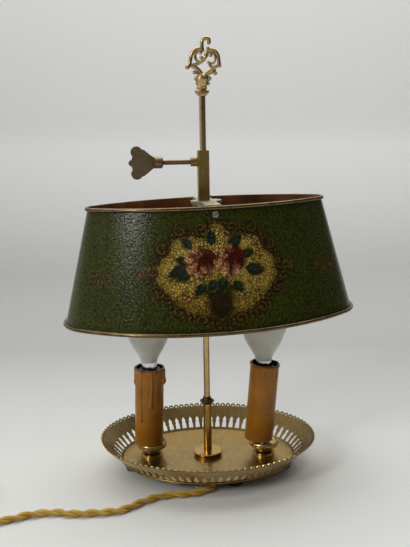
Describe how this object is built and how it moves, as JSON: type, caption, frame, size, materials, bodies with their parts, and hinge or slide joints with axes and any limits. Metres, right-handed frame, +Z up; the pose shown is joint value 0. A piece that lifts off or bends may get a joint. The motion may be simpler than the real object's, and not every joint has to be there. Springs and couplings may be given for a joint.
{
  "type": "table lamp",
  "caption": "Bouillotte table lamp: pierced oval gallery tray, candle-style lights on a central stem, and an oval metal shade that slides on the rod and is clamped by a thumb key",
  "frame": {"origin": "on the stem's axis where it meets the surface that the lamp stands on, below the tray's centre", "axes": "+X to the lamp's right seen from its front, along the tray's long axis; +Y to the rear; +Z up along the stem"},
  "size_m": [0.4498, 0.2054, 0.4049],
  "materials": {
    "tray_brass": "aged brass sheet, brushed and spotted",
    "gallery_brass": "aged pierced brass, olive patina",
    "foot_rubber": "matt black",
    "turned_brass": "polished in streaks",
    "steel": "plain zinc-plated",
    "dark_brass": "near-black patina",
    "cast_brass": "cast, dark in the hollows",
    "cup_brass": "bright ring, dark neck",
    "holder_black": "moulded black",
    "contact_brass": "plain",
    "candle_wax": "caramel wax look with drips",
    "bulb_metal": "bright metal",
    "bulb_white": "opal white",
    "shade_paint": "green crackled paint outside, red-brown inside",
    "rim_bronze": "worn bronze paint",
    "bridge_brass": "aged",
    "key_bronze": "dull brown bronze",
    "block_plastic": "natural nylon",
    "wire_sheath": "plain sheath",
    "cord_gold": "twisted gold braid",
    "plug_brown": "moulded brown",
    "pin_metal": "nickel-plated"
  },
  "bodies": {
    "base": {"tray_floor": "tray_brass", "tray_gallery": "gallery_brass", "foot_left": "foot_rubber", "foot_right": "foot_rubber", "foot_front": "foot_rubber", "foot_rear": "foot_rubber", "stem_flange": "turned_brass", "stem_tube": "turned_brass", "stem_washer": "steel", "stem_nut": "steel", "stem_collar": "dark_brass", "light_nuts": "steel", "cup_left": "cup_brass", "cup_right": "cup_brass", "light_tube_left": "steel", "light_tube_right": "steel", "holder_left": "holder_black", "holder_right": "holder_black", "holder_contact_left": "contact_brass", "holder_contact_right": "contact_brass", "candle_left": "candle_wax", "candle_right": "candle_wax", "bulb_cap_left": "bulb_metal", "bulb_cap_right": "bulb_metal", "bulb_globe_left": "bulb_white", "bulb_globe_right": "bulb_white", "terminal_block": "block_plastic", "terminal_screws": "steel", "cord_clip": "steel", "clip_screw": "steel", "supply_leads": "wire_sheath", "wire_left": "wire_sheath", "wire_right": "wire_sheath", "cord_lead": "cord_gold", "cord_coil": "cord_gold", "cord_tail": "cord_gold", "plug_body": "plug_brown", "plug_pins": "pin_metal"},
    "mast": {"upper_rod": "turned_brass", "finial": "cast_brass"},
    "shade": {"shade_sheet": "shade_paint", "shade_rim_top": "rim_bronze", "shade_rim_bottom": "rim_bronze", "shade_bridge": "bridge_brass", "bridge_screws": "steel", "slide_sleeve": "bridge_brass"},
    "pad": {"clamp_pad": "contact_brass"},
    "key": {"shade_key": "key_bronze"}
  },
  "joints": [
    {"name": "shade_turn", "type": "hinge", "parent": "base", "child": "mast", "pos_m": [0, 0, 0.06], "axis": [0, 0, 1], "range_deg": [-24, 9]},
    {"name": "shade_height", "type": "slide", "parent": "mast", "child": "shade", "axis": [0, 0, 1], "range_m": [-0.105, 0.045]},
    {"name": "pad_slide", "type": "slide", "parent": "shade", "child": "pad", "axis": [-0.9914, -0.1305, 0], "range_m": [0, 0.0014]},
    {"name": "key_turn", "type": "hinge", "parent": "pad", "child": "key", "pos_m": [-0.03966, -0.00522, 0.2956], "axis": [-0.9914, -0.1305, 0], "range_deg": [0, 720]}
  ],
  "couplings": [
    {"joint": "key_turn", "follows": "pad_slide", "rad_per_m": 8976}
  ]
}
